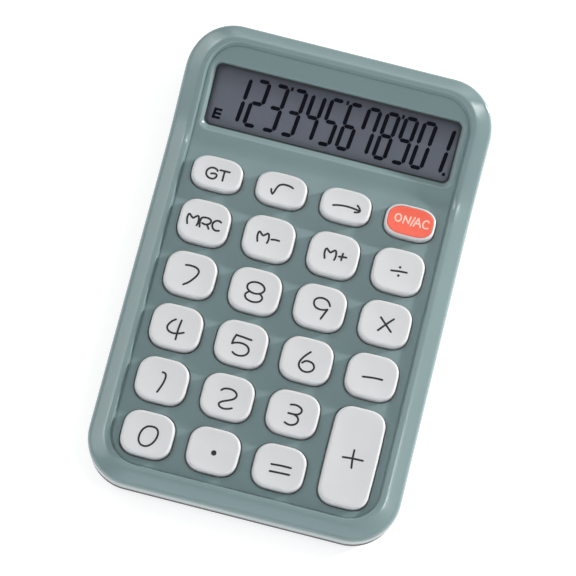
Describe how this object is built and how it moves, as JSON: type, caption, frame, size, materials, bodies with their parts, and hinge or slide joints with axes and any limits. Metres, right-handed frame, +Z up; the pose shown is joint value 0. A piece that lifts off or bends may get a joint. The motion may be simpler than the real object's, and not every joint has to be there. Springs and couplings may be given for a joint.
{
  "type": "desk calculator",
  "caption": "Wedge-shaped electronic desk calculator with a sunken key deck, sprung rounded keys, a raised display panel and a sliding battery door.",
  "frame": {"origin": "on the table plane, under the middle of the case's plan", "axes": "+Z up, +Y from the front edge towards the display, +X to the user's right"},
  "size_m": [0.1016, 0.152, 0.0336],
  "materials": {
    "case_green": "semi-gloss moulded ABS, pale grey-green",
    "case_dark": "satin moulded ABS, dark charcoal",
    "window_clear": "clear acrylic, polished",
    "lcd_glass": "grey polarised display glass",
    "lcd_marks": "dark display marks",
    "reflector": "matt silver film",
    "tray_plastic": "dark moulded plastic",
    "ribbon": "amber polyimide film",
    "board_green": "solder mask, satin",
    "chip_black": "matt moulded epoxy",
    "component_tan": "ceramic, satin",
    "carbon": "matt carbon print",
    "silicone": "translucent matt silicone",
    "key_ivory": "satin off-white ABS",
    "key_coral": "satin coral ABS",
    "cell_wrap": "printed sleeve, gloss",
    "contact_metal": "nickel-plated spring steel",
    "lead_sleeve": "insulated wire, satin",
    "screw_steel": "zinc-plated steel",
    "foot_rubber": "matt rubber"
  },
  "bodies": {
    "case": {"front_case": "case_green", "back_case": "case_dark", "display_window": "window_clear", "lcd_panel": "lcd_glass", "lcd_segments": "lcd_marks", "lcd_reflector": "reflector", "lcd_bracket": "tray_plastic", "lcd_ribbon": "ribbon", "circuit_board": "board_green", "controller_chip": "chip_black", "board_components": "component_tan", "contact_pads": "carbon", "keypad_sheet": "silicone", "contact_pills": "carbon", "battery": "cell_wrap", "battery_spring": "contact_metal", "battery_plate": "contact_metal", "battery_leads": "lead_sleeve", "case_screws": "screw_steel", "board_screws": "screw_steel", "bracket_screws": "screw_steel", "rubber_feet": "foot_rubber"},
    "key_gt_body": {"key_gt": "key_ivory"},
    "key_root_body": {"key_root": "key_ivory"},
    "key_backspace_body": {"key_backspace": "key_ivory"},
    "key_on_ac_body": {"key_on_ac": "key_ivory", "on_ac_cap": "key_coral"},
    "key_mrc_body": {"key_mrc": "key_ivory"},
    "key_m_minus_body": {"key_m_minus": "key_ivory"},
    "key_m_plus_body": {"key_m_plus": "key_ivory"},
    "key_divide_body": {"key_divide": "key_ivory"},
    "key_7_body": {"key_7": "key_ivory"},
    "key_8_body": {"key_8": "key_ivory"},
    "key_9_body": {"key_9": "key_ivory"},
    "key_multiply_body": {"key_multiply": "key_ivory"},
    "key_4_body": {"key_4": "key_ivory"},
    "key_5_body": {"key_5": "key_ivory"},
    "key_6_body": {"key_6": "key_ivory"},
    "key_minus_body": {"key_minus": "key_ivory"},
    "key_1_body": {"key_1": "key_ivory"},
    "key_2_body": {"key_2": "key_ivory"},
    "key_3_body": {"key_3": "key_ivory"},
    "key_0_body": {"key_0": "key_ivory"},
    "key_point_body": {"key_point": "key_ivory"},
    "key_equals_body": {"key_equals": "key_ivory"},
    "key_plus_body": {"key_plus": "key_ivory"},
    "door": {"battery_door": "case_dark"}
  },
  "joints": [
    {"name": "key_gt_press", "type": "slide", "parent": "case", "child": "key_gt_body", "axis": [0, 0.0436, -0.999], "range_m": [0, 0.0018], "stiffness_N_per_m": 250, "springref_m": -0.001, "deforming": ["keypad_sheet", "contact_pills"]},
    {"name": "key_root_press", "type": "slide", "parent": "case", "child": "key_root_body", "axis": [0, 0.0436, -0.999], "range_m": [0, 0.0018], "stiffness_N_per_m": 250, "springref_m": -0.001, "deforming": ["keypad_sheet", "contact_pills"]},
    {"name": "key_backspace_press", "type": "slide", "parent": "case", "child": "key_backspace_body", "axis": [0, 0.0436, -0.999], "range_m": [0, 0.0018], "stiffness_N_per_m": 250, "springref_m": -0.001, "deforming": ["keypad_sheet", "contact_pills"]},
    {"name": "key_on_ac_press", "type": "slide", "parent": "case", "child": "key_on_ac_body", "axis": [0, 0.0436, -0.999], "range_m": [0, 0.0018], "stiffness_N_per_m": 250, "springref_m": -0.001, "deforming": ["keypad_sheet", "contact_pills"]},
    {"name": "key_mrc_press", "type": "slide", "parent": "case", "child": "key_mrc_body", "axis": [0, 0.0436, -0.999], "range_m": [0, 0.0018], "stiffness_N_per_m": 250, "springref_m": -0.001, "deforming": ["keypad_sheet", "contact_pills"]},
    {"name": "key_m_minus_press", "type": "slide", "parent": "case", "child": "key_m_minus_body", "axis": [0, 0.0436, -0.999], "range_m": [0, 0.0018], "stiffness_N_per_m": 250, "springref_m": -0.001, "deforming": ["keypad_sheet", "contact_pills"]},
    {"name": "key_m_plus_press", "type": "slide", "parent": "case", "child": "key_m_plus_body", "axis": [0, 0.0436, -0.999], "range_m": [0, 0.0018], "stiffness_N_per_m": 250, "springref_m": -0.001, "deforming": ["keypad_sheet", "contact_pills"]},
    {"name": "key_divide_press", "type": "slide", "parent": "case", "child": "key_divide_body", "axis": [0, 0.0436, -0.999], "range_m": [0, 0.0018], "stiffness_N_per_m": 250, "springref_m": -0.001, "deforming": ["keypad_sheet", "contact_pills"]},
    {"name": "key_7_press", "type": "slide", "parent": "case", "child": "key_7_body", "axis": [0, 0.0436, -0.999], "range_m": [0, 0.0018], "stiffness_N_per_m": 250, "springref_m": -0.001, "deforming": ["keypad_sheet", "contact_pills"]},
    {"name": "key_8_press", "type": "slide", "parent": "case", "child": "key_8_body", "axis": [0, 0.0436, -0.999], "range_m": [0, 0.0018], "stiffness_N_per_m": 250, "springref_m": -0.001, "deforming": ["keypad_sheet", "contact_pills"]},
    {"name": "key_9_press", "type": "slide", "parent": "case", "child": "key_9_body", "axis": [0, 0.0436, -0.999], "range_m": [0, 0.0018], "stiffness_N_per_m": 250, "springref_m": -0.001, "deforming": ["keypad_sheet", "contact_pills"]},
    {"name": "key_multiply_press", "type": "slide", "parent": "case", "child": "key_multiply_body", "axis": [0, 0.0436, -0.999], "range_m": [0, 0.0018], "stiffness_N_per_m": 250, "springref_m": -0.001, "deforming": ["keypad_sheet", "contact_pills"]},
    {"name": "key_4_press", "type": "slide", "parent": "case", "child": "key_4_body", "axis": [0, 0.0436, -0.999], "range_m": [0, 0.0018], "stiffness_N_per_m": 250, "springref_m": -0.001, "deforming": ["keypad_sheet", "contact_pills"]},
    {"name": "key_5_press", "type": "slide", "parent": "case", "child": "key_5_body", "axis": [0, 0.0436, -0.999], "range_m": [0, 0.0018], "stiffness_N_per_m": 250, "springref_m": -0.001, "deforming": ["keypad_sheet", "contact_pills"]},
    {"name": "key_6_press", "type": "slide", "parent": "case", "child": "key_6_body", "axis": [0, 0.0436, -0.999], "range_m": [0, 0.0018], "stiffness_N_per_m": 250, "springref_m": -0.001, "deforming": ["keypad_sheet", "contact_pills"]},
    {"name": "key_minus_press", "type": "slide", "parent": "case", "child": "key_minus_body", "axis": [0, 0.0436, -0.999], "range_m": [0, 0.0018], "stiffness_N_per_m": 250, "springref_m": -0.001, "deforming": ["keypad_sheet", "contact_pills"]},
    {"name": "key_1_press", "type": "slide", "parent": "case", "child": "key_1_body", "axis": [0, 0.0436, -0.999], "range_m": [0, 0.0018], "stiffness_N_per_m": 250, "springref_m": -0.001, "deforming": ["keypad_sheet", "contact_pills"]},
    {"name": "key_2_press", "type": "slide", "parent": "case", "child": "key_2_body", "axis": [0, 0.0436, -0.999], "range_m": [0, 0.0018], "stiffness_N_per_m": 250, "springref_m": -0.001, "deforming": ["keypad_sheet", "contact_pills"]},
    {"name": "key_3_press", "type": "slide", "parent": "case", "child": "key_3_body", "axis": [0, 0.0436, -0.999], "range_m": [0, 0.0018], "stiffness_N_per_m": 250, "springref_m": -0.001, "deforming": ["keypad_sheet", "contact_pills"]},
    {"name": "key_0_press", "type": "slide", "parent": "case", "child": "key_0_body", "axis": [0, 0.0436, -0.999], "range_m": [0, 0.0018], "stiffness_N_per_m": 250, "springref_m": -0.001, "deforming": ["keypad_sheet", "contact_pills"]},
    {"name": "key_point_press", "type": "slide", "parent": "case", "child": "key_point_body", "axis": [0, 0.0436, -0.999], "range_m": [0, 0.0018], "stiffness_N_per_m": 250, "springref_m": -0.001, "deforming": ["keypad_sheet", "contact_pills"]},
    {"name": "key_equals_press", "type": "slide", "parent": "case", "child": "key_equals_body", "axis": [0, 0.0436, -0.999], "range_m": [0, 0.0018], "stiffness_N_per_m": 250, "springref_m": -0.001, "deforming": ["keypad_sheet", "contact_pills"]},
    {"name": "key_plus_press", "type": "slide", "parent": "case", "child": "key_plus_body", "axis": [0, 0.0436, -0.999], "range_m": [0, 0.0018], "stiffness_N_per_m": 250, "springref_m": -0.001, "deforming": ["keypad_sheet", "contact_pills"]},
    {"name": "battery_door_slide", "type": "slide", "parent": "case", "child": "door", "axis": [0, 1, 0], "range_m": [0, 0.018]}
  ]
}
